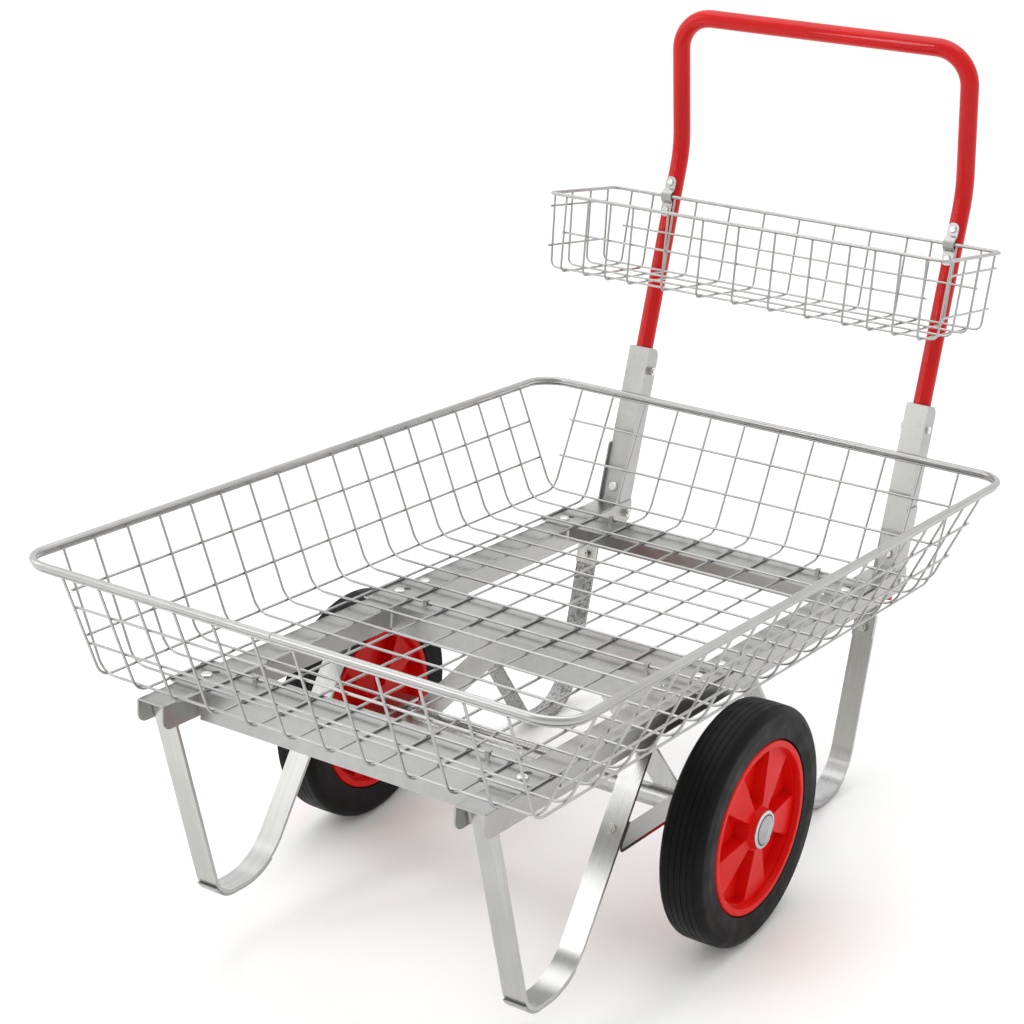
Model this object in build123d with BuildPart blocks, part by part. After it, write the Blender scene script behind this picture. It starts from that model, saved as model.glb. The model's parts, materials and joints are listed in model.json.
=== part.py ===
from build123d import *
import math
import os

# Two-wheeled garden cart. Millimetres; X runs across the cart, Y back to the handle, Z up.
# Everything is laid out level, with the four feet on Z = 0 and the basket's centre over the
# origin. The last step tips the cart back onto its wheels and rear feet, as it stands.

SHEET = 2.0
BAR_WIDTH = 27.0
BAR_THICK = 4.0

# Frame rails and crossmembers
RAIL_X = 196.0
RAIL_WIDTH = 35.0
RAIL_DEPTH = 28.0
RAIL_TOP = 259.0
RAIL_FRONT = -430.0
RAIL_REAR = 480.0
RAIL_WEB_REAR = 443.0
RAIL_CORNER = 12.0
DECK_TOP = RAIL_TOP + SHEET
DECK_HALF = 222.0
FLANGE_HALF = 176.0
BOLT_X = 196.5
LEG_X = 197.5
FRONT_MEMBER = (-376.0, -306.0, 33.0)
MIDDLE_MEMBER = (-46.0, 36.0, 33.0)
REAR_MEMBER = (325.0, 385.0, 18.0)
DECK_BOLT_Y = (-343.0, -6.0, 345.0)
LEG_TAB_BOLT_Y = 45.0
SPARE_HOLE_OFFSET = 13.0
HOOK_X = 145.0
HOOK_THICK = 1.4
HOOK_WIDE = 5.0

# Legs, as (y, z) points along the middle of the strip, and the bend at each corner
TAB_Z = RAIL_TOP - SHEET - BAR_THICK / 2
FOOT_Z = 4.8
FRONT_LEG = (
    (-322.0, TAB_Z),
    (-411.5, TAB_Z),
    (-329.4, FOOT_Z),
    (-249.9, FOOT_Z),
    (-96.8, TAB_Z),
    (14.0, TAB_Z),
)
FRONT_LEG_BENDS = (8.0, 30.0, 72.0, 10.0)
REAR_LEG = ((20.0, TAB_Z), (83.0, TAB_Z), (280.8, FOOT_Z), (370.6, FOOT_Z), (412.6, 213.0))
REAR_LEG_BENDS = (8.0, 76.0, 58.0)
LEG_LEAN = math.atan2(412.6 - 370.6, 213.0 - FOOT_Z)
LEG_BRACKET = 3.0
LEG_BOLT_Z = 198.0
SHOE_THICK = 2.5
SHOE_GAP = 0.3
SHOE_REACH = 150.0
SHOE_TOP = 17.0

# Axle and its braces
AXLE_Y = 8.4
AXLE_Z = 103.5
AXLE_TUBE_R = 12.5
AXLE_TUBE_HALF = 225.0
SHAFT_R = 6.0
SHAFT_END = 277.5
SADDLE_DROP = 8.0
STAY_LAP = 34.0
LUG_X = 71.0
LUG_FACE_Y = 8.0
LUG_WIDE = 30.0
LUG_BELOW_BOLT = 14.0
LUG_BOLT_Z = 221.0
STRUT_FOOT_X = 164.0

# Wheels; x is measured from the middle of the tread, outwards
WHEEL_X = 254.5
TYRE_R = 135.0
TYRE_HALF = 26.0
BEAD_R = 96.0
DRUM_R = 88.0
LIP_HALF = 25.5
HUB_R = 24.0
HUB_HALF = 24.0
HUB_OUT = 28.5
RECESS_R = 18.0
RECESS_DEPTH = 14.5
BUSH_R = 10.0
BUSH_GAP = 0.05
CAP_R = 21.2
CAP_DOME = 5.2
TREAD_GROOVES = (-18.0, -10.8, -3.6, 3.6, 10.8, 18.0)
GROOVE_WIDE = 0.9
GROOVE_DEEP = 0.9
SPOKES = 5
SPOKE_RIM_HALF = 18.0
SPOKE_HUB_HALF = 22.5
POCKET_FLOOR = 7.0
POCKET_TOP = 23.6
POCKET_IN = 24.5
POCKET_IN_HALF = 9.0
POCKET_OUT = 87.0
POCKET_ANGLE = math.radians(21)
POCKET_START = 8.0
POCKET_TAPER = 12.0

# Handle and its uprights
LEAN = math.radians(13.7)
UPRIGHT_X = 195.2
UPRIGHT_WIDTH = 28.8
UPRIGHT_DEPTH = 27.0
UPRIGHT_TOP = 457.0
UPRIGHT_BOTTOM = 232.0
UPRIGHT_FACE_Y = 502.3
HANDLE_R = 11.0
HANDLE_BORE = 9.5
HANDLE_BEHIND_FACE = 14.0
HANDLE_BEND = (575.0, 705.0)
HANDLE_TOP = (549.5, 874.5)
HANDLE_END_Z = 220.0
HANDLE_BOLT_Z = 426.0
UPRIGHT_BOLT_Z = 245.0
FACE_SCREW_Z = 278.0
HANDLE_SWEEP = 120.0
HANDLE_CORNER = 43.0
GUSSET_THICK = 1.7
GUSSET_Z = (236.0, 333.0)
GUSSET_PROUD = 5.0
GUSSET_DEEP = 27.0

# Basket
RIM_X = 325.6
RIM_Y = 482.5
RIM_Z = 395.6
RIM_R = 4.0
RIM_CORNER = 36.0
WIRE_R = 1.5
WELD_GAP = 0.02
LAYER = 2 * WIRE_R + WELD_GAP
CROSS_COUNT = 18
CROSS_PITCH = 50.0
LENGTH_COUNT = 12
LENGTH_PITCH = 48.4
FLOOR_LENGTH_Z = DECK_TOP + WIRE_R + 0.1
FLOOR_CROSS_Z = FLOOR_LENGTH_Z + LAYER
FLOOR_HALF_Y = 425.0
WALL_FLARE = 59.0 / 132.0
WALL_BEND = 25.0
HOOP_Z = RIM_Z - RIM_R - WIRE_R - WELD_GAP
CROSS_TOP = HOOP_Z + 0.9
LENGTH_TOP = HOOP_Z - WIRE_R - 0.2
WALL_WIRE_Z = (307.5, 351.5)
OVERHANG = 4.0

# Tool tray; local y runs back from its front rim, local z up from the rim's centre line
TRAY_TILT = math.radians(4.8)
TRAY_X = -5.5
TRAY_FRONT_Y = 388.5
TRAY_RIM_Z = 660.0
TRAY_HALF = 267.0
TRAY_DEPTH = 158.0
TRAY_RIM_R = 2.25
TRAY_WIRE_R = 1.35
TRAY_FLOOR = -95.0
TRAY_END_INSET = 4.5
TRAY_FRONT_INSET = 3.0
TRAY_REAR_INSET = 8.0
TRAY_NARROW = 32.0
TRAY_WIDE = 48.7
TRAY_LONG_Y = (12.5, 53.0, 97.0, 139.0)
TRAY_MIDDLE_Z = -46.0
TRAY_END_WIRE_Z = (-17.0, -66.0)
TRAY_BEND = 9.0
CLIP_WIDTH = 14.0
CLIP_THICK = 1.6
CLIP_Z = (621.0, 671.0)
CLIP_SCREW_Z = (629.0, 663.0)
CLIP_SCREW_R = 2.0

# Fasteners
BOLT_R = 3.0
HOLE_R = 3.2
HEAD_R = 6.5
HEAD_HIGH = 3.0
NUT_R = 5.7
NUT_HIGH = 5.0

SIDES = {"left": -1, "right": 1}
pieces = {}


def keep(name, part):
    """Files a finished piece under its name."""
    part.label = name
    pieces[name] = part


def facing(x, y, z, direction):
    """A plane at a point, looking along a direction, with its own x level."""
    look = Vector(*direction)
    level = Vector(1, 0, 0) if abs(look.X) < 0.9 * look.length else Vector(0, 1, 0)
    return Plane(origin=(x, y, z), x_dir=level, z_dir=direction)


def rod(points, bend, radius, plane=Plane.XY, close=False):
    """A round wire along straight runs joined by arcs."""
    with BuildPart() as piece:
        with BuildLine(plane) as route:
            if bend is None:
                Line(*points)
            else:
                FilletPolyline(*points, radius=bend, close=close)
        with BuildSketch(Plane(origin=route.line @ 0, z_dir=route.line % 0)):
            Circle(radius)
        sweep(path=route.line)
    return piece.part


def bent_bar(points, bends, thick, width, x):
    """A flat bar seen edge-on along X, folded through (y, z) points."""
    with BuildPart() as piece:
        with BuildSketch(Plane.YZ.offset(x)):
            with BuildLine():
                FilletPolyline(*points, radius=bends)
            trace(line_width=thick)
        extrude(amount=width / 2, both=True)
    return piece.part


def bolt(plane, length, head_radius=HEAD_R, head_high=HEAD_HIGH, shank=BOLT_R):
    """A domed bolt: its head stands on the plane and its shank goes in."""
    with BuildPart() as piece:
        with BuildSketch(plane):
            Circle(head_radius)
        extrude(amount=head_high)
        top = piece.faces().sort_by(Axis(plane.origin, plane.z_dir))[-1]
        fillet(top.edges(), head_high * 0.75)
        with BuildSketch(plane):
            Circle(shank)
        extrude(amount=-length)
    return piece.part


def nut(plane):
    """A plain hexagon nut that stands up from the plane."""
    with BuildPart() as piece:
        with BuildSketch(plane):
            RegularPolygon(NUT_R, 6)
            Circle(BOLT_R + BUSH_GAP, mode=Mode.SUBTRACT)
        extrude(amount=NUT_HIGH)
    return piece.part


def grouped(parts):
    """Several separate solids in one part."""
    with BuildPart() as group:
        for part in parts:
            add(part)
    return group.part


def upright_y(z, behind=0.0):
    """The y of the leaning uprights' front face at a height, or of a line behind it."""
    return UPRIGHT_FACE_Y - (UPRIGHT_TOP - z) * math.tan(LEAN) + behind / math.cos(LEAN)


def leg_y(z):
    """The y of the rear leg's strip, at its middle, on its rear arm."""
    return 412.6 - (213.0 - z) * math.tan(LEG_LEAN)


# ---------------------------------------------------------------- frame rails

for side, sign in SIDES.items():
    x = sign * RAIL_X
    with BuildPart() as rail:
        with BuildSketch(Plane.YZ.offset(x)):
            with BuildLine():
                Polyline(
                    (RAIL_FRONT, RAIL_TOP - RAIL_DEPTH),
                    (RAIL_REAR, RAIL_TOP - RAIL_DEPTH),
                    (RAIL_REAR, RAIL_TOP),
                    (RAIL_FRONT, RAIL_TOP),
                    close=True,
                )
            make_face()
        extrude(amount=RAIL_WIDTH / 2, both=True)
        fillet(rail.edges().filter_by(Axis.X).sort_by(Axis.Z)[:2], RAIL_CORNER)
        fillet(rail.edges().filter_by(Axis.Y).sort_by(Axis.Z)[-2:], SHEET)
        inside_z = RAIL_TOP - SHEET - RAIL_DEPTH
        with Locations((x, (RAIL_FRONT + RAIL_REAR) / 2, inside_z + RAIL_DEPTH / 2)):
            Box(RAIL_WIDTH - 2 * SHEET, RAIL_REAR - RAIL_FRONT + 2, RAIL_DEPTH, mode=Mode.SUBTRACT)
        with Locations((x, (RAIL_WEB_REAR + RAIL_REAR) / 2 + 1, RAIL_TOP)):
            Box(RAIL_WIDTH - 2 * SHEET, RAIL_REAR - RAIL_WEB_REAR + 2, 4 * SHEET, mode=Mode.SUBTRACT)
        with BuildSketch(Plane.XY.offset(RAIL_TOP)):
            with Locations([(sign * BOLT_X, y) for y in (*DECK_BOLT_Y, LEG_TAB_BOLT_Y)]):
                Circle(HOLE_R)
        extrude(amount=-2 * SHEET, mode=Mode.SUBTRACT)
        with BuildSketch(Plane.YZ):
            with Locations((upright_y(UPRIGHT_BOLT_Z, HANDLE_BEHIND_FACE), UPRIGHT_BOLT_Z)):
                Circle(HOLE_R)
        extrude(amount=2 * x, mode=Mode.SUBTRACT)
    keep(f"{side}_rail", rail.part)


# --------------------------------------------------------------- crossmembers

def crossmember(front, rear, drop, bolt_y, hook_y):
    """Folded sheet: a flat deck over both rails, with a flange down at each edge between them."""
    middle = (front + rear) / 2
    with BuildPart() as member:
        with BuildSketch(Plane.XY.offset(DECK_TOP)):
            with Locations((0, middle)):
                RectangleRounded(2 * DECK_HALF, rear - front, 9)
            with Locations([(sign * BOLT_X, bolt_y) for sign in (-1, 1)]):
                Circle(HOLE_R, mode=Mode.SUBTRACT)
            with Locations([(sign * (BOLT_X - 2), bolt_y + SPARE_HOLE_OFFSET) for sign in (-1, 1)]):
                Circle(HOLE_R + 1, mode=Mode.SUBTRACT)
            with Locations([(sign * HOOK_X, hook_y + 5) for sign in (-1, 1)]):
                Rectangle(9, 8, mode=Mode.SUBTRACT)
        extrude(amount=-SHEET)
        with BuildSketch(Plane.XY.offset(DECK_TOP - drop)):
            with Locations((0, front + SHEET / 2), (0, rear - SHEET / 2)):
                Rectangle(2 * FLANGE_HALF, SHEET)
        extrude(amount=drop - SHEET)
        wire_top = FLOOR_CROSS_Z + WIRE_R + 0.15
        for sign in (-1, 1):
            with BuildSketch(Plane.YZ.offset(sign * HOOK_X)):
                with Locations((hook_y - WIRE_R - 0.9, (DECK_TOP - SHEET + wire_top) / 2)):
                    Rectangle(HOOK_THICK, wire_top - DECK_TOP + SHEET)
                with Locations((hook_y, wire_top + HOOK_THICK / 2)):
                    Rectangle(6.2, HOOK_THICK)
            extrude(amount=HOOK_WIDE / 2, both=True)
    return member.part


keep("front_crossmember", crossmember(*FRONT_MEMBER, DECK_BOLT_Y[0], -325.0))
keep("rear_crossmember", crossmember(*REAR_MEMBER, DECK_BOLT_Y[2], 375.0))

with BuildPart() as middle_member:
    add(crossmember(*MIDDLE_MEMBER, DECK_BOLT_Y[1], -25.0))
    lug_low = LUG_BOLT_Z - LUG_BELOW_BOLT
    lug_high = DECK_TOP - SHEET / 2
    with BuildSketch(Plane.XZ.offset(-LUG_FACE_Y)):
        with Locations([(sign * LUG_X, (lug_low + lug_high) / 2) for sign in (-1, 1)]):
            Rectangle(LUG_WIDE, lug_high - lug_low)
        with Locations([(sign * LUG_X, LUG_BOLT_Z) for sign in (-1, 1)]):
            Circle(HOLE_R, mode=Mode.SUBTRACT)
    extrude(amount=SHEET)
keep("middle_crossmember", middle_member.part)


# ----------------------------------------------------------------------- legs

def drilled(part, planes, depth, radius=HOLE_R):
    """A part with a straight hole through it at each plane."""
    with BuildPart() as piece:
        add(part)
        for plane in planes:
            with BuildSketch(plane):
                Circle(radius)
            extrude(amount=depth, both=True, mode=Mode.SUBTRACT)
    return piece.part


def shoe(points, bends, x):
    """A thin wear plate that follows the underside of a foot."""
    inner = BAR_THICK + 2 * SHOE_GAP
    with BuildPart() as plate:
        with BuildSketch(Plane.YZ.offset(x)) as outline:
            with BuildLine() as route:
                FilletPolyline(*points, radius=bends)
            trace(route.line, line_width=inner + 2 * SHOE_THICK)
            trace(route.line, line_width=inner, mode=Mode.SUBTRACT)
            with Locations(((points[1][0] + points[2][0]) / 2, 0)):
                Rectangle(SHOE_REACH, 2 * SHOE_TOP, mode=Mode.INTERSECT)
        extrude(outline.sketch.faces().sort_by(Axis.Z)[0], amount=BAR_WIDTH / 2 - 0.5, both=True)
    return plate.part


leg_normal = (0, math.cos(LEG_LEAN), -math.sin(LEG_LEAN))
for side, sign in SIDES.items():
    x = sign * LEG_X
    front_leg = bent_bar(FRONT_LEG, FRONT_LEG_BENDS, BAR_THICK, BAR_WIDTH, x)
    holes = [Plane(origin=(sign * BOLT_X, y, TAB_Z)) for y in DECK_BOLT_Y[:2]]
    keep(f"front_{side}_leg", drilled(front_leg, holes, BAR_THICK))

    rear_leg = bent_bar(REAR_LEG, REAR_LEG_BENDS, BAR_THICK, BAR_WIDTH, x)
    bolt_y = leg_y(LEG_BOLT_Z)
    leg_bolt_plane = facing(x, bolt_y, LEG_BOLT_Z, leg_normal)
    tab_plane = Plane(origin=(sign * BOLT_X, LEG_TAB_BOLT_Y, TAB_Z))
    keep(f"rear_{side}_leg", drilled(rear_leg, [leg_bolt_plane, tab_plane], BAR_THICK))

    bracket_z = TAB_Z + BAR_THICK / 2 - LEG_BRACKET / 2
    in_front = (BAR_THICK + LEG_BRACKET) / 2 / math.cos(LEG_LEAN)
    outline = (
        (REAR_MEMBER[0] + 5, bracket_z),
        (leg_y(bracket_z) - in_front, bracket_z),
        (leg_y(LEG_BOLT_Z - 11) - in_front, LEG_BOLT_Z - 11),
    )
    bracket = bent_bar(outline, (5.0,), LEG_BRACKET, BAR_WIDTH, x)
    deck_hole = Plane(origin=(sign * BOLT_X, DECK_BOLT_Y[2], bracket_z))
    keep(f"rear_{side}_leg_bracket", drilled(bracket, [leg_bolt_plane, deck_hole], 2 * BAR_THICK))

    keep(f"front_{side}_shoe", shoe(FRONT_LEG[1:5], FRONT_LEG_BENDS[1:3], x))
    keep(f"rear_{side}_shoe", shoe(REAR_LEG[1:5], REAR_LEG_BENDS[1:3], x))


# ------------------------------------------------------- axle and its braces

def axle_disc(x_from, x_to, outer, inner):
    """A ring, tube or washer round the axle line, between two x positions."""
    with BuildPart() as ring:
        with BuildSketch(Plane(origin=(x_from, AXLE_Y, AXLE_Z), x_dir=(0, 1, 0), z_dir=(1, 0, 0))):
            Circle(outer)
            if inner:
                Circle(inner, mode=Mode.SUBTRACT)
        extrude(amount=x_to - x_from)
    return ring.part


keep("axle_tube", axle_disc(-AXLE_TUBE_HALF, AXLE_TUBE_HALF, AXLE_TUBE_R, SHAFT_R + 1.5))
keep("axle_shaft", axle_disc(-SHAFT_END, SHAFT_END, SHAFT_R, 0))

tube_top = AXLE_Z + AXLE_TUBE_R
saddle_r = AXLE_TUBE_R + WELD_GAP + BAR_THICK / 2
stay_z = tube_top + 1.5 * BAR_THICK + 3 * WELD_GAP
strut_y = LUG_FACE_Y + BAR_THICK / 2 + WELD_GAP
for side, sign in SIDES.items():
    x = sign * LEG_X
    with BuildPart() as saddle:
        with BuildSketch(Plane.YZ.offset(x)):
            with BuildLine():
                Line((AXLE_Y - saddle_r, AXLE_Z - SADDLE_DROP), (AXLE_Y - saddle_r, AXLE_Z))
                ThreePointArc(
                    (AXLE_Y - saddle_r, AXLE_Z), (AXLE_Y, AXLE_Z + saddle_r), (AXLE_Y + saddle_r, AXLE_Z)
                )
                Line((AXLE_Y + saddle_r, AXLE_Z), (AXLE_Y + saddle_r, AXLE_Z - SADDLE_DROP))
            trace(line_width=BAR_THICK)
        extrude(amount=BAR_WIDTH / 2, both=True)
    keep(f"{side}_axle_saddle", saddle.part)

    # The stay's front end is turned up to lie against the back of the front leg's rear arm.
    arm = math.atan2(FRONT_LEG[4][0] - FRONT_LEG[3][0], FRONT_LEG[4][1] - FRONT_LEG[3][1])
    behind_arm = (BAR_THICK + WELD_GAP) / math.cos(arm)
    arm_y = FRONT_LEG[3][0] + (stay_z - FOOT_Z) * math.tan(arm) + behind_arm
    turned_up = STAY_LAP * math.cos(arm)
    outline = (
        (arm_y + STAY_LAP * math.sin(arm), stay_z + turned_up),
        (arm_y, stay_z),
        (AXLE_Y + saddle_r, stay_z),
    )
    stay = bent_bar(outline, (5.0,), BAR_THICK, BAR_WIDTH, x)
    lap = 0.62 * STAY_LAP
    stay_bolt = facing(
        x, arm_y + lap * math.sin(arm), stay_z + lap * math.cos(arm), (0, math.cos(arm), -math.sin(arm))
    )
    keep(f"{side}_axle_stay", drilled(stay, [stay_bolt], BAR_THICK))
    pieces[f"front_{side}_leg"] = drilled(pieces[f"front_{side}_leg"], [stay_bolt], 2 * BAR_THICK)

    slope = math.atan2(STRUT_FOOT_X - LUG_X, LUG_BOLT_Z - tube_top)
    half = BAR_WIDTH / 2
    run = half / math.cos(slope)
    cut_z = tube_top + WELD_GAP
    reach = (LUG_BOLT_Z - cut_z) * math.tan(slope)
    with BuildPart() as strut:
        with BuildSketch(Plane.XZ.offset(-strut_y)):
            with BuildLine():
                Polyline(
                    (sign * (LUG_X + reach - run), cut_z),
                    (sign * (LUG_X + reach + run), cut_z),
                    (sign * (LUG_X + half * math.cos(slope)), LUG_BOLT_Z + half * math.sin(slope)),
                    (sign * (LUG_X - half * math.cos(slope)), LUG_BOLT_Z - half * math.sin(slope)),
                    close=True,
                )
            make_face()
            with Locations((sign * LUG_X, LUG_BOLT_Z)):
                Circle(half)
            with Locations((sign * LUG_X, LUG_BOLT_Z)):
                Circle(HOLE_R, mode=Mode.SUBTRACT)
        extrude(amount=BAR_THICK / 2, both=True)
    keep(f"{side}_axle_strut", strut.part)


# --------------------------------------------------------------------- wheels

def wheel_plane(sign):
    """Local x runs outwards along the axle from mid-tread, local y runs up from the axle."""
    origin = (sign * WHEEL_X, AXLE_Y, AXLE_Z)
    return Plane(origin=origin, x_dir=(sign, 0, 0), z_dir=(0, -sign, 0))


def turned(sign, outlines, cuts=()):
    """A solid of revolution about the axle from closed (x, radius) outlines with rounded corners."""
    plane = wheel_plane(sign)
    with BuildPart() as piece:
        for outline, mode in [(o, Mode.ADD) for o in outlines] + [(c, Mode.SUBTRACT) for c in cuts]:
            points, bends = outline
            with BuildSketch(plane):
                with BuildLine():
                    FilletPolyline(*points, radius=bends, close=True)
                make_face()
            revolve(axis=Axis(plane.origin, plane.x_dir), mode=mode)
    return piece.part


rim_x = POCKET_OUT * math.cos(POCKET_ANGLE)
rim_y = POCKET_OUT * math.sin(POCKET_ANGLE)
with BuildSketch() as pocket:
    with BuildLine():
        Polyline((rim_x, rim_y), (POCKET_IN, POCKET_IN_HALF), (POCKET_IN, -POCKET_IN_HALF), (rim_x, -rim_y))
        ThreePointArc((rim_x, -rim_y), (POCKET_OUT, 0), (rim_x, rim_y))
    make_face()
    fillet(pocket.vertices(), 4)

for side, sign in SIDES.items():
    half = TYRE_HALF
    section = (
        (-19.9, BEAD_R + 0.02),
        (-19.9, BEAD_R + 2.6),
        (-half + 0.8, BEAD_R + 2.9),
        (-half - 0.4, BEAD_R + 18),
        (-half, TYRE_R - 8),
        (-half + 5, TYRE_R - 0.6),
        (0, TYRE_R),
        (half - 5, TYRE_R - 0.6),
        (half, TYRE_R - 8),
        (half + 0.4, BEAD_R + 18),
        (half - 0.8, BEAD_R + 2.9),
        (19.9, BEAD_R + 2.6),
        (19.9, BEAD_R + 0.02),
    )
    bends = (0, 0, 1, 14, 7, 7, 60, 7, 7, 14, 1, 0, 0)
    grooves = []
    for middle in TREAD_GROOVES:
        floor_r = TYRE_R - GROOVE_DEEP
        groove = (
            (middle - GROOVE_WIDE / 2, TYRE_R + 1),
            (middle - GROOVE_WIDE / 2, floor_r),
            (middle + GROOVE_WIDE / 2, floor_r),
            (middle + GROOVE_WIDE / 2, TYRE_R + 1),
        )
        grooves.append((groove, 0))
    keep(f"{side}_tyre", turned(sign, [(section, bends)], grooves))

    # The red centre: a drum with a lip each side, a dished disc and a hub with a recess outside.
    drum = ((-20, DRUM_R), (20, DRUM_R), (20, BEAD_R), (-20, BEAD_R))
    lip = ((20, DRUM_R + 0.5), (LIP_HALF, DRUM_R + 2), (LIP_HALF, BEAD_R + 1), (20, BEAD_R + 2.4))
    inner_lip = tuple((-px, pr) for px, pr in lip)
    disc = (
        (-SPOKE_RIM_HALF, DRUM_R + 1),
        (-SPOKE_HUB_HALF, HUB_R - 1),
        (SPOKE_HUB_HALF, HUB_R - 1),
        (SPOKE_RIM_HALF, DRUM_R + 1),
    )
    hub = (
        (-HUB_HALF, BUSH_R),
        (HUB_OUT, BUSH_R),
        (HUB_OUT, CAP_R + 0.4),
        (SPOKE_HUB_HALF, HUB_R),
        (-HUB_HALF, HUB_R),
    )
    lip_bends = (0, 1.5, 2, 0)
    recess = (
        (HUB_OUT - RECESS_DEPTH, 1),
        (HUB_OUT + 1, 1),
        (HUB_OUT + 1, RECESS_R),
        (HUB_OUT - RECESS_DEPTH, RECESS_R),
    )
    outlines = [(drum, 0), (lip, lip_bends), (inner_lip, lip_bends), (disc, 0), (hub, 0)]
    plane = wheel_plane(sign)
    with BuildPart() as centre:
        add(turned(sign, outlines, [(recess, 0)]))
        for face in (1, -1):
            outward = (sign * face, 0, 0)
            start = plane.origin + Vector(sign * face * POCKET_TOP, 0, 0)
            with BuildSketch(Plane(origin=start, x_dir=(0, 0, 1), z_dir=outward)):
                with PolarLocations(0, SPOKES, start_angle=face * POCKET_START):
                    add(pocket.sketch)
            extrude(amount=-(POCKET_TOP - POCKET_FLOOR), taper=POCKET_TAPER, mode=Mode.SUBTRACT)
    keep(f"{side}_wheel_centre", centre.part)

    inner_bush = (
        (-HUB_HALF - 2, SHAFT_R + BUSH_GAP),
        (-4, SHAFT_R + BUSH_GAP),
        (-4, BUSH_R),
        (-HUB_HALF, BUSH_R),
        (-HUB_HALF, BUSH_R + 3),
        (-HUB_HALF - 2, BUSH_R + 3),
    )
    seat = HUB_OUT - RECESS_DEPTH
    outer_bush = (
        (4, SHAFT_R + BUSH_GAP),
        (seat + 2, SHAFT_R + BUSH_GAP),
        (seat + 2, BUSH_R + 3),
        (seat, BUSH_R + 3),
        (seat, BUSH_R),
        (4, BUSH_R),
    )
    bushes = [turned(sign, [(bush, 0)]) for bush in (inner_bush, outer_bush)]
    keep(f"{side}_wheel_bushes", grouped(bushes))

    cap = (
        (HUB_OUT - 4, RECESS_R - 1.02),
        (HUB_OUT - 4, RECESS_R - 0.02),
        (HUB_OUT + 0.02, RECESS_R - 0.02),
        (HUB_OUT + 0.02, CAP_R),
        (HUB_OUT + 1.2, CAP_R),
        (HUB_OUT + 2.2, RECESS_R - 1),
        (HUB_OUT + CAP_DOME, 0),
        (HUB_OUT + CAP_DOME - 1, 0),
        (HUB_OUT + 1.2, RECESS_R - 2),
        (HUB_OUT + 0.4, RECESS_R - 1.02),
    )
    cap_bends = (0, 0, 0, 0, 0.5, 0.6, 0, 0, 2, 0)
    keep(f"{side}_hub_cap", turned(sign, [(cap, cap_bends)]))

    # Pieces that stay with the axle: thrust washer inside, washer and push-on retainer outside.
    at = sorted((sign * (AXLE_TUBE_HALF + 0.3), sign * (WHEEL_X - HUB_HALF - 2.3)))
    washers = [axle_disc(*at, BUSH_R + 2, SHAFT_R + BUSH_GAP)]
    washer_x = WHEEL_X + seat + 2.3
    at = sorted((sign * washer_x, sign * (washer_x + 1.2)))
    washers.append(axle_disc(*at, BUSH_R + 1, SHAFT_R + BUSH_GAP))
    keep(f"{side}_washers", grouped(washers))
    at = sorted((sign * (washer_x + 1.25), sign * (washer_x + 3.2)))
    keep(f"{side}_retainer", axle_disc(*at, BUSH_R + 0.5, SHAFT_R + 0.01))


# ----------------------------------------------------- uprights and the handle

lean_axis = (0, math.sin(LEAN), math.cos(LEAN))
across_lean = (0, math.cos(LEAN), -math.sin(LEAN))
upright_length = (UPRIGHT_TOP - UPRIGHT_BOTTOM) / math.cos(LEAN)


def tube_y(z):
    """The y of the handle tube's centre line between its end and its bend."""
    low = upright_y(HANDLE_END_Z, HANDLE_BEHIND_FACE)
    return low + (HANDLE_BEND[0] - low) * (z - HANDLE_END_Z) / (HANDLE_BEND[1] - HANDLE_END_Z)


for side, sign in SIDES.items():
    x = sign * UPRIGHT_X
    section = Plane(origin=(x, UPRIGHT_FACE_Y, UPRIGHT_TOP), x_dir=(1, 0, 0), z_dir=lean_axis)
    with BuildPart() as upright:
        with BuildSketch(section):
            with Locations((0, UPRIGHT_DEPTH / 2)):
                Rectangle(UPRIGHT_WIDTH, UPRIGHT_DEPTH)
            with Locations((0, UPRIGHT_DEPTH / 2 + SHEET)):
                Rectangle(UPRIGHT_WIDTH - 2 * SHEET, UPRIGHT_DEPTH, mode=Mode.SUBTRACT)
        extrude(amount=-upright_length)
        lips = upright.edges().filter_by(Axis.X).filter_by(lambda e: e.length < SHEET + 0.1)
        fillet(lips.sort_by(Axis.Z)[-2:], RAIL_CORNER)
        for z in (HANDLE_BOLT_Z, UPRIGHT_BOLT_Z):
            with BuildSketch(Plane.YZ.offset(x)):
                with Locations((tube_y(z), z)):
                    Circle(HOLE_R)
            extrude(amount=UPRIGHT_WIDTH, both=True, mode=Mode.SUBTRACT)
        with BuildSketch(facing(x, upright_y(FACE_SCREW_Z), FACE_SCREW_Z, across_lean)):
            Circle(HOLE_R)
        extrude(amount=2 * SHEET, both=True, mode=Mode.SUBTRACT)
    keep(f"{side}_upright", upright.part)

    plate_x = sign * (UPRIGHT_X + UPRIGHT_WIDTH / 2 + 0.05 + GUSSET_THICK / 2)
    low, high = GUSSET_Z
    with BuildPart() as gusset:
        with BuildSketch(Plane.YZ.offset(plate_x)):
            with BuildLine():
                FilletPolyline(
                    (upright_y(low) - GUSSET_PROUD, low),
                    (upright_y(high) - GUSSET_PROUD, high),
                    (upright_y(high) + GUSSET_DEEP, high),
                    (upright_y(low) + GUSSET_DEEP, low),
                    radius=3,
                    close=True,
                )
            make_face()
            with Locations((tube_y(UPRIGHT_BOLT_Z), UPRIGHT_BOLT_Z)):
                Circle(HOLE_R, mode=Mode.SUBTRACT)
        extrude(amount=GUSSET_THICK / 2, both=True)
    keep(f"{side}_gusset", gusset.part)


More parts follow.
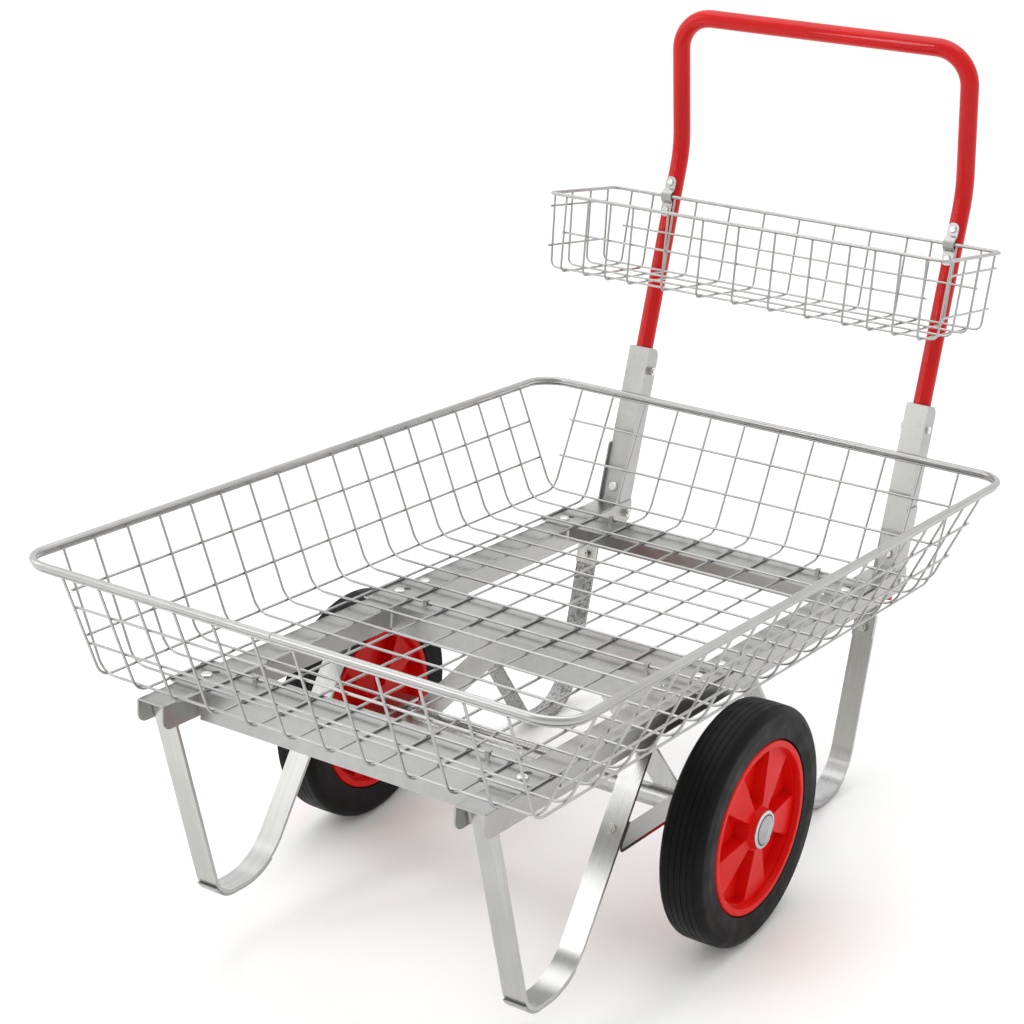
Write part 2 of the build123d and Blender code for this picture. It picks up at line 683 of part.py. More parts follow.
def handle_path(radius):
    """The handle's whole bent run at one radius: up, forward at the bend, across and down again."""
    low = (tube_y(HANDLE_END_Z), HANDLE_END_Z)
    side_points = (low, HANDLE_BEND, HANDLE_TOP)
    points = [(-UPRIGHT_X, y, z) for y, z in side_points]
    points += [(UPRIGHT_X, y, z) for y, z in reversed(side_points)]
    return rod(points, (HANDLE_SWEEP, HANDLE_CORNER, HANDLE_CORNER, HANDLE_SWEEP), radius)


def tube_front(z):
    """The y of the front of the handle tube at a height below its bend."""
    return tube_y(z) - HANDLE_R / math.cos(tube_lean)


def clip_plane(x, z):
    """A plane on the front of the handle tube, facing away from it."""
    return facing(x, tube_front(z), z, (0, -math.cos(tube_lean), math.sin(tube_lean)))


tube_lean = math.atan2(tube_y(400) - tube_y(300), 100)
handle_outer = handle_path(HANDLE_R)
handle_inner = handle_path(HANDLE_BORE)
with BuildPart() as handle:
    add(handle_outer)
    add(handle_inner, mode=Mode.SUBTRACT)
    for z in (HANDLE_BOLT_Z, UPRIGHT_BOLT_Z):
        with BuildSketch(Plane.YZ):
            with Locations((tube_y(z), z)):
                Circle(HOLE_R)
        extrude(amount=2 * UPRIGHT_X, both=True, mode=Mode.SUBTRACT)
    for sign in (-1, 1):
        with BuildSketch(facing(sign * UPRIGHT_X, upright_y(FACE_SCREW_Z), FACE_SCREW_Z, across_lean)):
            Circle(HOLE_R)
        extrude(amount=HANDLE_BEHIND_FACE, mode=Mode.SUBTRACT)
        for z in CLIP_SCREW_Z:
            with BuildSketch(clip_plane(sign * UPRIGHT_X, z)):
                Circle(CLIP_SCREW_R + 0.2)
            extrude(amount=-HANDLE_R, mode=Mode.SUBTRACT)
keep("handle", handle.part)


# --------------------------------------------------------------------- basket

wall_turn = math.atan2(1, WALL_FLARE)
bisector = wall_turn / 2
floor_half_x = LENGTH_PITCH * (LENGTH_COUNT - 1) / 2


def u_wire(half, floor_z, top_z, plane):
    """A wire bent up at both ends to the flared walls."""
    lean = (top_z - floor_z) * WALL_FLARE
    points = ((-half - lean, top_z), (-half, floor_z), (half, floor_z), (half + lean, top_z))
    return rod([(u, 0, v) for u, v in points], WALL_BEND, WIRE_R, plane)


def across(y):
    """A plane whose local x runs across the cart."""
    return Plane(origin=(0, y, 0))


def along(x):
    """A plane whose local x runs along the cart."""
    return Plane(origin=(x, 0, 0), x_dir=(0, 1, 0), z_dir=(0, 0, 1))


def in_bend(half, floor_z, step):
    """Where a wire lies against a U wire's bend: step inside (-) or outside (+) its centre line."""
    tangent = WALL_BEND * math.tan(bisector)
    radius = WALL_BEND + step
    along = half - tangent + radius * math.sin(bisector)
    return along, floor_z + WALL_BEND - radius * math.cos(bisector)


side_half = floor_half_x
cross_ys = [(i - (CROSS_COUNT - 1) / 2) * CROSS_PITCH for i in range(1, CROSS_COUNT - 1)]
end_cross_y, end_cross_z = in_bend(FLOOR_HALF_Y, FLOOR_LENGTH_Z, -LAYER)
end_cross_half = side_half + (end_cross_z - FLOOR_CROSS_Z) * WALL_FLARE
cross_wires = [u_wire(side_half, FLOOR_CROSS_Z, CROSS_TOP, across(y)) for y in cross_ys]
cross_wires += [u_wire(end_cross_half, end_cross_z, CROSS_TOP, across(sign * end_cross_y)) for sign in (-1, 1)]
keep("basket_cross_wires", grouped(cross_wires))

length_xs = [(j - (LENGTH_COUNT - 1) / 2) * LENGTH_PITCH for j in range(1, LENGTH_COUNT - 1)]
edge_x, edge_z = in_bend(side_half, FLOOR_CROSS_Z, LAYER)
length_wires = [u_wire(FLOOR_HALF_Y, FLOOR_LENGTH_Z, LENGTH_TOP, along(x)) for x in length_xs]
edge_half = FLOOR_HALF_Y + (edge_z - FLOOR_LENGTH_Z) * WALL_FLARE
length_wires += [u_wire(edge_half, edge_z, LENGTH_TOP, along(x)) for x in (-edge_x, edge_x)]
keep("basket_length_wires", grouped(length_wires))

wall_norm = math.hypot(1, WALL_FLARE)
wall_wires = []
for z in WALL_WIRE_Z:
    side_x = side_half + (z - FLOOR_CROSS_Z) * WALL_FLARE + LAYER / wall_norm
    side_z = z - LAYER * WALL_FLARE / wall_norm
    end_y = FLOOR_HALF_Y + (z - FLOOR_LENGTH_Z) * WALL_FLARE - LAYER / wall_norm
    end_z = z + LAYER * WALL_FLARE / wall_norm
    reach_y = end_cross_y + OVERHANG
    reach_x = edge_x + OVERHANG
    for sign in (-1, 1):
        ends = ((sign * side_x, -reach_y, side_z), (sign * side_x, reach_y, side_z))
        wall_wires.append(rod(ends, None, WIRE_R))
        ends = ((-reach_x, sign * end_y, end_z), (reach_x, sign * end_y, end_z))
        wall_wires.append(rod(ends, None, WIRE_R))
keep("basket_wall_wires", grouped(wall_wires))


def hoop(half_x, half_y, z, radius, corner):
    """A closed rectangle of round wire with rounded corners."""
    points = [(half_x, half_y, z), (-half_x, half_y, z), (-half_x, -half_y, z), (half_x, -half_y, z)]
    return rod(points, corner, radius, close=True)


keep("basket_rim", hoop(RIM_X, RIM_Y, RIM_Z, RIM_R, RIM_CORNER))
keep("basket_hoop", hoop(RIM_X - 0.2, RIM_Y - 0.2, HOOP_Z, WIRE_R, RIM_CORNER))


# ------------------------------------------------------------------ tool tray

def tray_plane(x, y):
    """The tray's own leaning frame, moved along the tray."""
    down_back = Vector(0, math.cos(TRAY_TILT), -math.sin(TRAY_TILT))
    origin = Vector(TRAY_X + x, TRAY_FRONT_Y, TRAY_RIM_Z) + down_back * y
    return Plane(origin=origin, x_dir=(1, 0, 0), z_dir=(0, math.sin(TRAY_TILT), math.cos(TRAY_TILT)))


tray_frame = tray_plane(0, 0)
tray_top = -TRAY_RIM_R - WELD_GAP
tray_layer = 2 * TRAY_WIRE_R + WELD_GAP
rim_points = [
    (TRAY_HALF, TRAY_DEPTH, 0),
    (-TRAY_HALF, TRAY_DEPTH, 0),
    (-TRAY_HALF, 0, 0),
    (TRAY_HALF, 0, 0),
]
keep("tray_rim", rod(rim_points, TRAY_BEND, TRAY_RIM_R, tray_frame, close=True))

tray_gaps = [TRAY_NARROW] * 3 + [TRAY_WIDE] * 6 + [TRAY_NARROW] * 3
tray_xs = [sum(tray_gaps[:i]) - sum(tray_gaps) / 2 for i in range(len(tray_gaps) + 1)]
cross_points = (
    (0, 0, tray_top),
    (0, TRAY_FRONT_INSET, TRAY_FLOOR),
    (0, TRAY_DEPTH - TRAY_REAR_INSET, TRAY_FLOOR),
    (0, TRAY_DEPTH, tray_top),
)
tray_cross = [rod(cross_points, TRAY_BEND, TRAY_WIRE_R, tray_plane(x, 0)) for x in tray_xs]
keep("tray_cross_wires", grouped(tray_cross))

upper_floor = TRAY_FLOOR + tray_layer
long_points = (
    (-TRAY_HALF, 0, tray_top),
    (-TRAY_HALF + TRAY_END_INSET, 0, upper_floor),
    (TRAY_HALF - TRAY_END_INSET, 0, upper_floor),
    (TRAY_HALF, 0, tray_top),
)
tray_long = [rod(long_points, TRAY_BEND, TRAY_WIRE_R, tray_plane(0, y)) for y in TRAY_LONG_Y]
keep("tray_length_wires", grouped(tray_long))

share = TRAY_MIDDLE_Z / TRAY_FLOOR
half = -tray_xs[0] + OVERHANG
front_y = TRAY_FRONT_INSET * share + tray_layer
rear_y = TRAY_DEPTH - TRAY_REAR_INSET * share - tray_layer
tray_walls = [
    rod(((-half, y, TRAY_MIDDLE_Z), (half, y, TRAY_MIDDLE_Z)), None, TRAY_WIRE_R, tray_frame)
    for y in (front_y, rear_y)
]
for z in TRAY_END_WIRE_Z:
    end_x = TRAY_HALF - TRAY_END_INSET * z / TRAY_FLOOR + tray_layer + 0.15
    for sign in (-1, 1):
        ends = ((sign * end_x, TRAY_LONG_Y[0] - OVERHANG, z), (sign * end_x, TRAY_LONG_Y[-1] + OVERHANG, z))
        tray_walls.append(rod(ends, None, TRAY_WIRE_R, tray_frame))
keep("tray_wall_wires", grouped(tray_walls))

rear_rim = tray_plane(0, TRAY_DEPTH).origin
over_rim = rear_rim.Y - TRAY_RIM_R - CLIP_THICK / 2 - 0.1
clip_bends = (2.0, 2.5, 2.5, 2.0)
clip_screw_planes = []
for side, sign in SIDES.items():
    x = sign * UPRIGHT_X
    off_tube = CLIP_THICK / 2 + 0.1
    low, high = CLIP_Z
    outline = [(tube_front(z) - off_tube, z) for z in (high, rear_rim.Z + 9)]
    outline += [(over_rim, rear_rim.Z + 4), (over_rim, rear_rim.Z - 4)]
    outline += [(tube_front(z) - off_tube, z) for z in (rear_rim.Z - 9, low)]
    strap = bent_bar(outline, clip_bends, CLIP_THICK, CLIP_WIDTH, x)
    planes = [clip_plane(x, z) for z in CLIP_SCREW_Z]
    clip_screw_planes += planes
    with BuildPart() as clip:
        add(strap)
        ends = clip.edges().filter_by(lambda e: abs(e.length - CLIP_THICK) < 0.01).sort_by(Axis.Z)
        fillet(ends[:2] + ends[-2:], CLIP_WIDTH / 2 - 1)
        for plane in planes:
            with BuildSketch(plane):
                Circle(CLIP_SCREW_R + 0.2)
            extrude(amount=2 * CLIP_THICK, both=True, mode=Mode.SUBTRACT)
    keep(f"{side}_tray_clip", clip.part)


# ------------------------------------------------------------------ fasteners

def along_normal(plane, distance, flip=False):
    """A plane moved along its own normal, and turned to face the other way if asked."""
    direction = -plane.z_dir if flip else plane.z_dir
    return Plane(origin=plane.origin + plane.z_dir * distance, x_dir=plane.x_dir, z_dir=direction)


def fasten(name, sets, **shape):
    """Bolts whose heads stand on the faces, each with a nut on the far side of what it grips."""
    bolts = [bolt(face, grip + NUT_HIGH + 1.5, **shape) for face, grip in sets]
    nuts = [nut(along_normal(face, -grip - WELD_GAP, flip=True)) for face, grip in sets]
    keep(f"{name}_bolts", grouped(bolts))
    keep(f"{name}_nuts", grouped(nuts))


deck_grip = DECK_TOP - TAB_Z + BAR_THICK / 2
frame_sets = []
brace_sets = []
handle_sets = []
face_screws = []
for sign in (-1, 1):
    frame_sets += [(Plane(origin=(sign * BOLT_X, y, DECK_TOP)), deck_grip) for y in DECK_BOLT_Y]
    frame_sets.append((Plane(origin=(sign * BOLT_X, LEG_TAB_BOLT_Y, RAIL_TOP)), deck_grip - SHEET))

    leg_face = facing(sign * LEG_X, leg_y(LEG_BOLT_Z), LEG_BOLT_Z, leg_normal)
    brace_sets.append((along_normal(leg_face, BAR_THICK / 2), BAR_THICK + LEG_BRACKET))
    stay_face = facing(sign * LEG_X, stay_bolt.origin.Y, stay_bolt.origin.Z, tuple(stay_bolt.z_dir))
    brace_sets.append((along_normal(stay_face, BAR_THICK / 2), 2 * BAR_THICK + 2 * WELD_GAP))
    strut_face = facing(sign * LUG_X, LUG_FACE_Y - SHEET, LUG_BOLT_Z, (0, -1, 0))
    brace_sets.append((strut_face, SHEET + BAR_THICK + WELD_GAP))

    outside = sign * (UPRIGHT_X + UPRIGHT_WIDTH / 2)
    upper = facing(outside, tube_y(HANDLE_BOLT_Z), HANDLE_BOLT_Z, (sign, 0, 0))
    handle_sets.append((upper, UPRIGHT_WIDTH))
    outside = sign * (RAIL_X + RAIL_WIDTH / 2)
    lower = facing(outside, tube_y(UPRIGHT_BOLT_Z), UPRIGHT_BOLT_Z, (sign, 0, 0))
    handle_sets.append((lower, RAIL_WIDTH))

    screw_at = (sign * UPRIGHT_X, upright_y(FACE_SCREW_Z), FACE_SCREW_Z)
    face_screws.append(bolt(facing(*screw_at, tuple(-c for c in across_lean)), 9))
fasten("frame", frame_sets)
fasten("brace", brace_sets)
fasten("handle", handle_sets, head_radius=5, head_high=2.5)
keep("upright_screws", grouped(face_screws))
clip_screws = [bolt(along_normal(p, CLIP_THICK + 0.1), 8, 4.2, 2.2, CLIP_SCREW_R) for p in clip_screw_planes]
keep("tray_clip_screws", grouped(clip_screws))


# ------------------------------------------------------- stance and the files

# The wheels reach lower than the feet, so the cart rocks back until its rear feet touch the
# ground: the angle at which the rear foot's curve and the tyre are level.
foot_turn = math.pi / 2 - LEG_LEAN
foot_r = REAR_LEG_BENDS[2]
foot_y = REAR_LEG[3][0] - foot_r * math.tan(foot_turn / 2)
foot_z = FOOT_Z + foot_r
sole_r = foot_r + BAR_THICK / 2 + SHOE_GAP + SHOE_THICK
reach_y = foot_y - AXLE_Y
reach_z = foot_z - AXLE_Z
span = math.hypot(reach_y, reach_z)
tip = math.acos((sole_r - TYRE_R) / span) - math.atan2(reach_y, reach_z)
tipped = Rotation(-math.degrees(tip), 0, 0)
whole = Compound([piece.moved(tipped) for piece in pieces.values()]).bounding_box()
stance = Pos(0, -whole.center().Y, -whole.min.Z) * tipped

os.makedirs("parts", exist_ok=True)
for name, piece in pieces.items():
    standing = piece.moved(stance)
    standing.label = name
    export_step(standing, f"parts/{name}.step")
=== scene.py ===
"""The garden cart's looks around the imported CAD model: materials, the rim's weld seam, light and camera."""

import json
import math

import bmesh
import bpy
from mathutils import Euler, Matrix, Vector


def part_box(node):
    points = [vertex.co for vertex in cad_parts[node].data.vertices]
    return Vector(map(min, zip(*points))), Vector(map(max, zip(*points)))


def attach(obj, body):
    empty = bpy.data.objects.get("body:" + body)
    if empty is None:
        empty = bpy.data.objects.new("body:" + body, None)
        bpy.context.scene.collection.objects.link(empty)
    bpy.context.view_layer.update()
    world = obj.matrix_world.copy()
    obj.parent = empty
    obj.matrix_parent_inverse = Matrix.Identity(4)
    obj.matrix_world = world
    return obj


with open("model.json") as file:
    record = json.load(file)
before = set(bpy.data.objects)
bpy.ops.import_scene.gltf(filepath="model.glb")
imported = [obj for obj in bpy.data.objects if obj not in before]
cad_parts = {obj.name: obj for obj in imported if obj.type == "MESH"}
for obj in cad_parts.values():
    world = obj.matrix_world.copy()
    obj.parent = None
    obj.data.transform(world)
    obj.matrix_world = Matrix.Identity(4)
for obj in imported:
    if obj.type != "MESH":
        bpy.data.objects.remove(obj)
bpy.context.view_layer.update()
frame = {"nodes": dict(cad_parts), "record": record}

nodes = frame["nodes"]
X_AXIS = Vector((1.0, 0.0, 0.0))

# ------------------------------------------------------------------ materials

# Nearly all values of a noise lie between these two.
NOISE_LOW = 0.3
NOISE_HIGH = 0.7


def grey(level):
    """A colour with all three channels alike."""
    return (level, level, level)


class Shader:
    """A principled material and short ways to add the nodes that feed it."""

    def __init__(self, name, **inputs):
        self.material = bpy.data.materials.new(name)
        self.material.use_nodes = True
        self.tree = self.material.node_tree
        self.bsdf = self.tree.nodes["Principled BSDF"]
        for key, value in inputs.items():
            self.bsdf.inputs[key.replace("_", " ")].default_value = value
        self.place = self.node("ShaderNodeTexCoord").outputs["Object"]

    def node(self, kind, **settings):
        made = self.tree.nodes.new(kind)
        for key, value in settings.items():
            setattr(made, key, value)
        return made

    def link(self, out, into):
        self.tree.links.new(out, into)

    def stretched(self, scale):
        """Object coordinates with a scale per axis, in waves per metre."""
        mapping = self.node("ShaderNodeMapping")
        mapping.inputs["Scale"].default_value = scale
        self.link(self.place, mapping.inputs["Vector"])
        return mapping.outputs["Vector"]

    def noise(self, scale, detail=3.0, rough=0.5):
        """Noise, 0 to 1, with one scale or a scale per axis, in waves per metre."""
        made = self.node("ShaderNodeTexNoise")
        made.inputs["Detail"].default_value = detail
        made.inputs["Roughness"].default_value = rough
        if isinstance(scale, tuple):
            made.inputs["Scale"].default_value = 1.0
            self.link(self.stretched(scale), made.inputs["Vector"])
        else:
            made.inputs["Scale"].default_value = scale
            self.link(self.place, made.inputs["Vector"])
        return made.outputs["Fac"]

    def cells(self, scale):
        """A random level per cell, for zinc spangle."""
        made = self.node("ShaderNodeTexVoronoi")
        made.inputs["Scale"].default_value = scale
        self.link(self.place, made.inputs["Vector"])
        split = self.node("ShaderNodeSeparateColor")
        self.link(made.outputs["Color"], split.inputs["Color"])
        return split.outputs["Red"]

    def mixed(self, a, b, share):
        """A blend of two levels, with that share of b."""
        made = self.node("ShaderNodeMix", data_type="FLOAT")
        made.inputs["Factor"].default_value = share
        self.link(a, made.inputs["A"])
        self.link(b, made.inputs["B"])
        return made.outputs["Result"]

    def ranged(self, level, low, high, start=NOISE_LOW, end=NOISE_HIGH):
        """A level moved from start..end to low..high."""
        made = self.node("ShaderNodeMapRange")
        spans = {"From Min": start, "From Max": end, "To Min": low, "To Max": high}
        for key, value in spans.items():
            made.inputs[key].default_value = value
        self.link(level, made.inputs["Value"])
        return made.outputs["Result"]

    def coloured(self, level, *stops):
        """Base colour from a level through a ramp of (place, colour)."""
        ramp = self.node("ShaderNodeValToRGB")
        elements = ramp.color_ramp.elements
        while len(elements) < len(stops):
            elements.new(0.5)
        for element, (at, colour) in zip(elements, stops):
            element.position = at
            element.color = (*colour, 1.0)
        self.link(level, ramp.inputs["Fac"])
        self.link(ramp.outputs["Color"], self.bsdf.inputs["Base Color"])

    def clouded(self, level, dark, light, light_at=NOISE_HIGH):
        """Base colour from dark to light over a noise's span."""
        self.coloured(level, (NOISE_LOW, dark), (light_at, light))

    def rough(self, level, low, high):
        """Roughness from low to high over a noise's span."""
        self.link(self.ranged(level, low, high), self.bsdf.inputs["Roughness"])

    def bump(self, level, height, strength):
        """Bump from a level, height in metres, on top of any bump made before."""
        made = self.node("ShaderNodeBump")
        made.inputs["Distance"].default_value = height
        made.inputs["Strength"].default_value = strength
        self.link(level, made.inputs["Height"])
        into = self.bsdf.inputs["Normal"]
        if into.links:
            self.link(into.links[0].from_socket, made.inputs["Normal"])
        self.link(made.outputs["Normal"], into)


CLOUD_SCALE = 7.0
STREAK_SHARE = 0.35
STREAK_DEPTH = 0.00004
ZINC_GRAIN_SCALE = 700.0
ZINC_GRAIN_DEPTH = 0.00002
ZINC_BUMP = 0.25


def zinc(name, streaks, levels, rough, tint=(1.0, 1.0, 0.99), spangle=None):
    """Galvanised steel: soft clouds, rolling streaks, and spangle where it is given as (scale, share)."""
    made = Shader(name, Metallic=1.0)
    lines = made.noise(streaks, 3.0, 0.55)
    tone = made.mixed(made.noise(CLOUD_SCALE), lines, STREAK_SHARE)
    if spangle:
        cell_scale, share = spangle
        tone = made.mixed(tone, made.cells(cell_scale), share)
    dark, light = (tuple(level * t for t in tint) for level in levels)
    made.clouded(tone, dark, light)
    made.rough(tone, *rough)
    made.bump(lines, STREAK_DEPTH, ZINC_BUMP)
    made.bump(made.noise(ZINC_GRAIN_SCALE, 2.0), ZINC_GRAIN_DEPTH, ZINC_BUMP)
    return made.material


def red_paint():
    """Powder coat: deep red, faint orange peel under a clear gloss."""
    gloss = {"Roughness": 0.36, "Coat_Weight": 0.4, "Coat_Roughness": 0.05}
    made = Shader("red_gloss_paint", Specular_IOR_Level=0.08, **gloss)
    made.clouded(made.noise(14.0), (0.50, 0.002, 0.003), (0.58, 0.003, 0.004))
    made.bump(made.noise(420.0, 2.0), 0.00012, 0.22)
    return made.material


def red_plastic():
    """Moulded red plastic: slight flow marks, uneven gloss, fine grain."""
    made = Shader("red_moulded_plastic", Specular_IOR_Level=0.12)
    made.clouded(made.noise(22.0, 4.0), (0.60, 0.003, 0.002), (0.68, 0.005, 0.003))
    made.rough(made.noise(60.0), 0.30, 0.44)
    made.bump(made.noise(1500.0, 2.0), 0.00005, 0.35)
    return made.material


def tyre_rubber():
    """Solid rubber: near black, a little dust in the pores, dull."""
    made = Shader("tyre_rubber", Specular_IOR_Level=0.12)
    made.clouded(made.noise(16.0, 5.0, 0.6), grey(0.003), grey(0.006), light_at=0.72)
    made.rough(made.noise(45.0, 4.0), 0.40, 0.58)
    made.bump(made.noise(1100.0), 0.00008, 0.4)
    return made.material


def black_plastic():
    """Moulded black bushes: satin, with a fine grain."""
    made = Shader("black_bearing_plastic")
    made.clouded(made.noise(40.0), grey(0.014), grey(0.028))
    made.rough(made.noise(120.0), 0.35, 0.5)
    made.bump(made.noise(1500.0), 0.00004, 0.3)
    return made.material


# Painted light on the hub cap: the dome's grey and the flange's lighter grey are painted reflections, and the
# near-black ring between them is painted shade.
DOME_PAINTED_REFLECTION = (0.36, 0.37, 0.38)
GROOVE_PAINTED_SHADE = grey(0.01)
FLANGE_PAINTED_REFLECTION = (0.52, 0.53, 0.54)
# Each is a share of the cap's radius, and its colour.
CAP_STOPS = (
    (0.0, DOME_PAINTED_REFLECTION),
    (0.72, DOME_PAINTED_REFLECTION),
    (0.76, GROOVE_PAINTED_SHADE),
    (0.80, GROOVE_PAINTED_SHADE),
    (0.84, FLANGE_PAINTED_REFLECTION),
)


def chrome(cap):
    """Polished cap with faint handling haze, its dome painted a darker grey than its flange as a painted
    reflection, and a painted shade line where its dome meets its flange.
    """
    made = Shader("polished_chrome", Metallic=1.0)
    low, high = (Vector(corner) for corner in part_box(cap.name))
    to_local = cap.matrix_world.inverted()
    offset = made.node("ShaderNodeVectorMath", operation="SUBTRACT")
    made.link(made.place, offset.inputs[0])
    offset.inputs[1].default_value = to_local @ ((low + high) / 2)
    across = made.node("ShaderNodeVectorMath", operation="CROSS_PRODUCT")
    made.link(offset.outputs["Vector"], across.inputs[0])
    across.inputs[1].default_value = to_local.to_3x3() @ X_AXIS
    radius = made.node("ShaderNodeVectorMath", operation="LENGTH")
    made.link(across.outputs["Vector"], radius.inputs[0])
    share = made.ranged(radius.outputs["Value"], 0.0, 1.0, start=0.0, end=(high.z - low.z) / 2)
    # Painted reflection and painted shade by radius: darker dome, near-black ring, lighter flange.
    made.coloured(made.mixed(share, made.noise(30.0), 0.04), *CAP_STOPS)
    made.rough(made.noise(70.0, 4.0), 0.05, 0.13)
    made.bump(made.noise(160.0), 0.00003, 0.2)
    return made.material


# Streaks are waves per metre along X, Y and Z. Levels and roughness run from low to high.
looks = {
    "zinc_sheet": zinc(
        "galvanised_sheet",
        streaks=(60.0, 8.0, 30.0),
        levels=(0.34, 0.45),
        rough=(0.26, 0.36),
        spangle=(110.0, 0.10),
    ),
    "zinc_bar": zinc(
        "galvanised_bar",
        streaks=(220.0, 5.0, 5.0),
        levels=(0.42, 0.57),
        rough=(0.24, 0.33),
        tint=(1.0, 1.0, 0.975),
    ),
    # Real spangle mottling, with darker levels that are painted shade for the one leg that stands in shade.
    "mottled_painted_shade_bar": zinc(
        "mottled_painted_shade_bar",
        streaks=(90.0, 12.0, 12.0),
        levels=(0.15, 0.36),
        rough=(0.26, 0.40),
        spangle=(420.0, 0.45),
    ),
    "zinc_wire": zinc(
        "galvanised_wire",
        streaks=(40.0, 40.0, 40.0),
        levels=(0.36, 0.47),
        rough=(0.25, 0.34),
    ),
    "bright_zinc": zinc(
        "bright_zinc",
        streaks=(120.0, 120.0, 120.0),
        levels=(0.60, 0.78),
        rough=(0.16, 0.26),
        tint=(1.0, 0.99, 0.96),
    ),
    "red_paint": red_paint(),
    "red_plastic": red_plastic(),
    "bush_plastic": black_plastic(),
    "tyre": tyre_rubber(),
    "chrome": chrome(nodes["left_hub_cap"]),
}

for part in frame["record"]["subparts"]:
    node = nodes[part["node"]]
    node.data.materials.clear()
    node.data.materials.append(looks[part["material_slot"]])

# One leg has a mottled zinc, painted darker than the other legs as painted shade.
nodes["rear_left_leg"].data.materials[0] = looks["mottled_painted_shade_bar"]

# ------------------------------------------------------------------- rim seam

RIM_R = 0.004
BEAD_R = 0.0007
BEAD_WIDE = 1.6
BEAD_AROUND = 48
BEAD_ACROSS = 10


def bead_swell(turn):
    """The bead's radius at a turn round the rim, slightly uneven as a weld is."""
    return BEAD_R * (1.0 + 0.18 * math.sin(7 * turn) + 0.12 * math.sin(11 * turn + 1.0))


def rim_seam():
    """The weld bead where the ends of the basket's rim meet, round the middle of its front run."""
    low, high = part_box("basket_rim")
    centre = Vector(((low[0] + high[0]) / 2, low[1] + RIM_R, high[2] - RIM_R))
    bead = bmesh.new()
    rings = []
    for i in range(BEAD_AROUND):
        turn = math.tau * i / BEAD_AROUND
        out = Vector((0.0, math.cos(turn), math.sin(turn)))
        swell = bead_swell(turn)
        ring = []
        for k in range(BEAD_ACROSS):
            roll = math.tau * k / BEAD_ACROSS
            away = out * (RIM_R + swell * math.cos(roll))
            along = X_AXIS * (BEAD_WIDE * swell * math.sin(roll))
            ring.append(bead.verts.new(centre + away + along))
        rings.append(ring)
    for i, ring in enumerate(rings):
        after = rings[(i + 1) % BEAD_AROUND]
        for k in range(BEAD_ACROSS):
            n = (k + 1) % BEAD_ACROSS
            face = bead.faces.new((ring[k], ring[n], after[n], after[k]))
            face.smooth = True
    bmesh.ops.recalc_face_normals(bead, faces=bead.faces)
    mesh = bpy.data.meshes.new("rim_seam")
    bead.to_mesh(mesh)
    bead.free()
    made = bpy.data.objects.new("rim_seam", mesh)
    bpy.context.scene.collection.objects.link(made)
    mesh.materials.append(looks["zinc_wire"])
    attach(made, "root")


rim_seam()

# ---------------------------------------------------------- floor, light, camera

FLOOR_HALF = 40.0
FLOOR_GAP = 0.0005

STUDIO_DARK = (0.74, 0.73, 0.69)
STUDIO_LIGHT = grey(1.18)
STUDIO_DARK_SIDE = (0.52, -0.83, 0.10)
# How far towards the dark side the light starts to fall, and where it is at its lowest.
STUDIO_FALL = (0.05, 0.65)

LIGHTS_AIM = (0.0, 0.0, 0.4)

CAMERA_PLACE = (1.3268, -2.1072, 1.4646)
CAMERA_TURN = (67.021, 0.342, 33.950)
CAMERA_SENSOR = 36.0
CAMERA_LENS = 85.5
CAMERA_SHIFT = (0.0018, -0.0010)
CAMERA_NEAR = 0.05


def floor():
    """A plain pale floor, just under the wheels."""
    mesh = bpy.data.meshes.new("floor")
    sheet = bmesh.new()
    bmesh.ops.create_grid(sheet, x_segments=2, y_segments=2, size=FLOOR_HALF)
    sheet.to_mesh(mesh)
    sheet.free()
    made = bpy.data.objects.new("floor", mesh)
    bpy.context.scene.collection.objects.link(made)
    look = Shader("pale_floor", Roughness=1.0, Specular_IOR_Level=0.0)
    look.clouded(look.noise(3.0), grey(0.97), grey(0.98))
    mesh.materials.append(look.material)
    made.location.z = -FLOOR_GAP


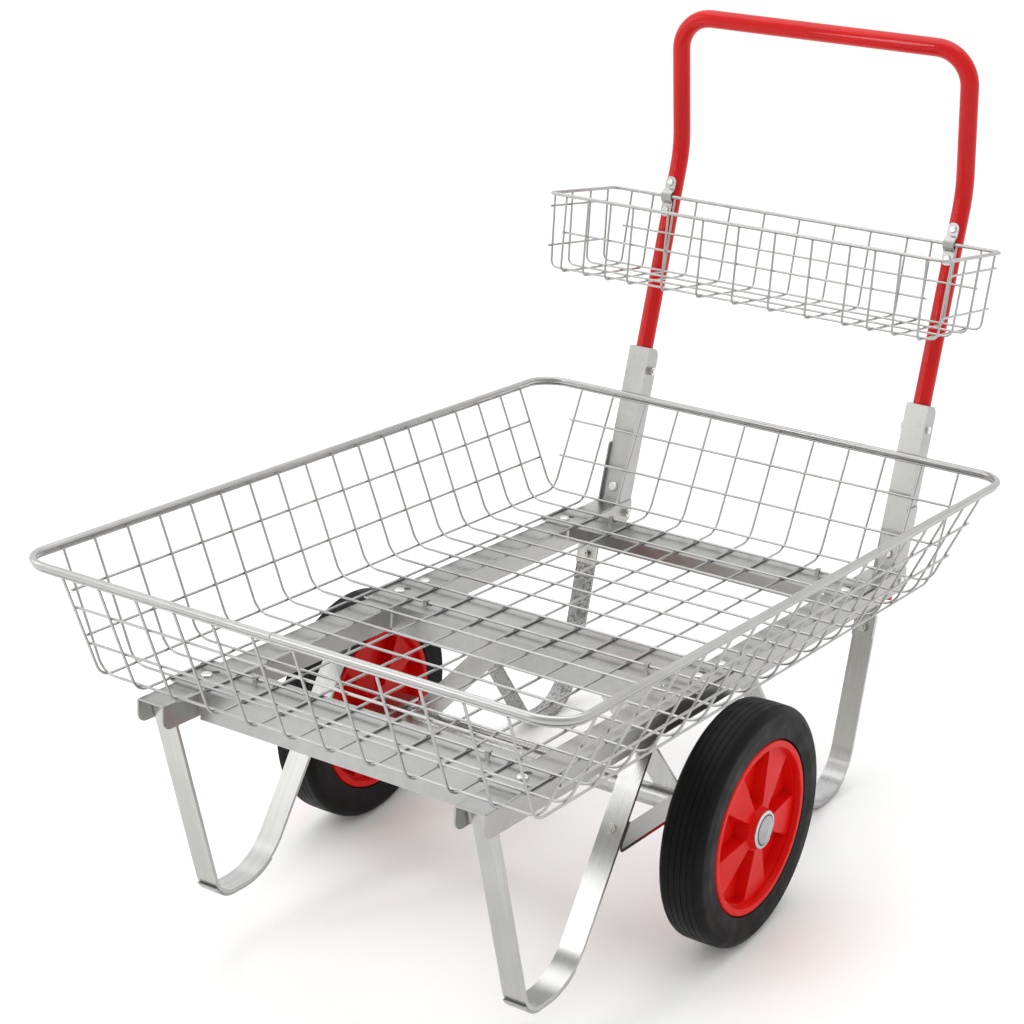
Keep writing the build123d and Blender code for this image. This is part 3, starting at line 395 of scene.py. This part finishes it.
def area(name, place, size, power):
    """A soft rectangular light at place, facing the cart."""
    data = bpy.data.lights.new(name, "AREA")
    data.shape = "RECTANGLE"
    data.size, data.size_y = size
    data.energy = power
    lamp = bpy.data.objects.new(name, data)
    bpy.context.scene.collection.objects.link(lamp)
    lamp.location = place
    lamp.rotation_euler = (Vector(LIGHTS_AIM) - Vector(place)).to_track_quat("-Z", "Y").to_euler()


def studio():
    """A soft white room, dimmer towards one side, so that metal has something to reflect."""
    world = bpy.data.worlds.new("studio")
    bpy.context.scene.world = world
    world.use_nodes = True
    tree = world.node_tree
    place = tree.nodes.new("ShaderNodeTexCoord")
    facing = tree.nodes.new("ShaderNodeVectorMath")
    facing.operation = "DOT_PRODUCT"
    facing.inputs[1].default_value = STUDIO_DARK_SIDE
    tree.links.new(place.outputs["Generated"], facing.inputs[0])
    ramp = tree.nodes.new("ShaderNodeValToRGB")
    ramp.color_ramp.interpolation = "EASE"
    for stop, at, colour in zip(ramp.color_ramp.elements, STUDIO_FALL, (STUDIO_LIGHT, STUDIO_DARK)):
        stop.position = at
        stop.color = (*colour, 1.0)
    tree.links.new(facing.outputs["Value"], ramp.inputs["Fac"])
    tree.links.new(ramp.outputs["Color"], tree.nodes["Background"].inputs["Color"])


def camera():
    """The scene's camera."""
    made = bpy.data.objects.new("camera", bpy.data.cameras.new("camera"))
    bpy.context.scene.collection.objects.link(made)
    made.location = CAMERA_PLACE
    made.rotation_euler = Euler([math.radians(angle) for angle in CAMERA_TURN])
    made.data.sensor_width = CAMERA_SENSOR
    made.data.lens = CAMERA_LENS
    made.data.shift_x, made.data.shift_y = CAMERA_SHIFT
    made.data.clip_start = CAMERA_NEAR
    bpy.context.scene.camera = made


bpy.context.scene.view_settings.view_transform = "Standard"
floor()
studio()
area("overhead_softbox", place=(-0.3, 0.6, 3.0), size=(3.0, 2.4), power=30.0)
area("left_softbox", place=(-2.8, -1.2, 1.8), size=(1.6, 2.2), power=14.0)
area("front_strip", place=(-1.3, -2.4, 1.7), size=(0.25, 1.6), power=9.0)
camera()
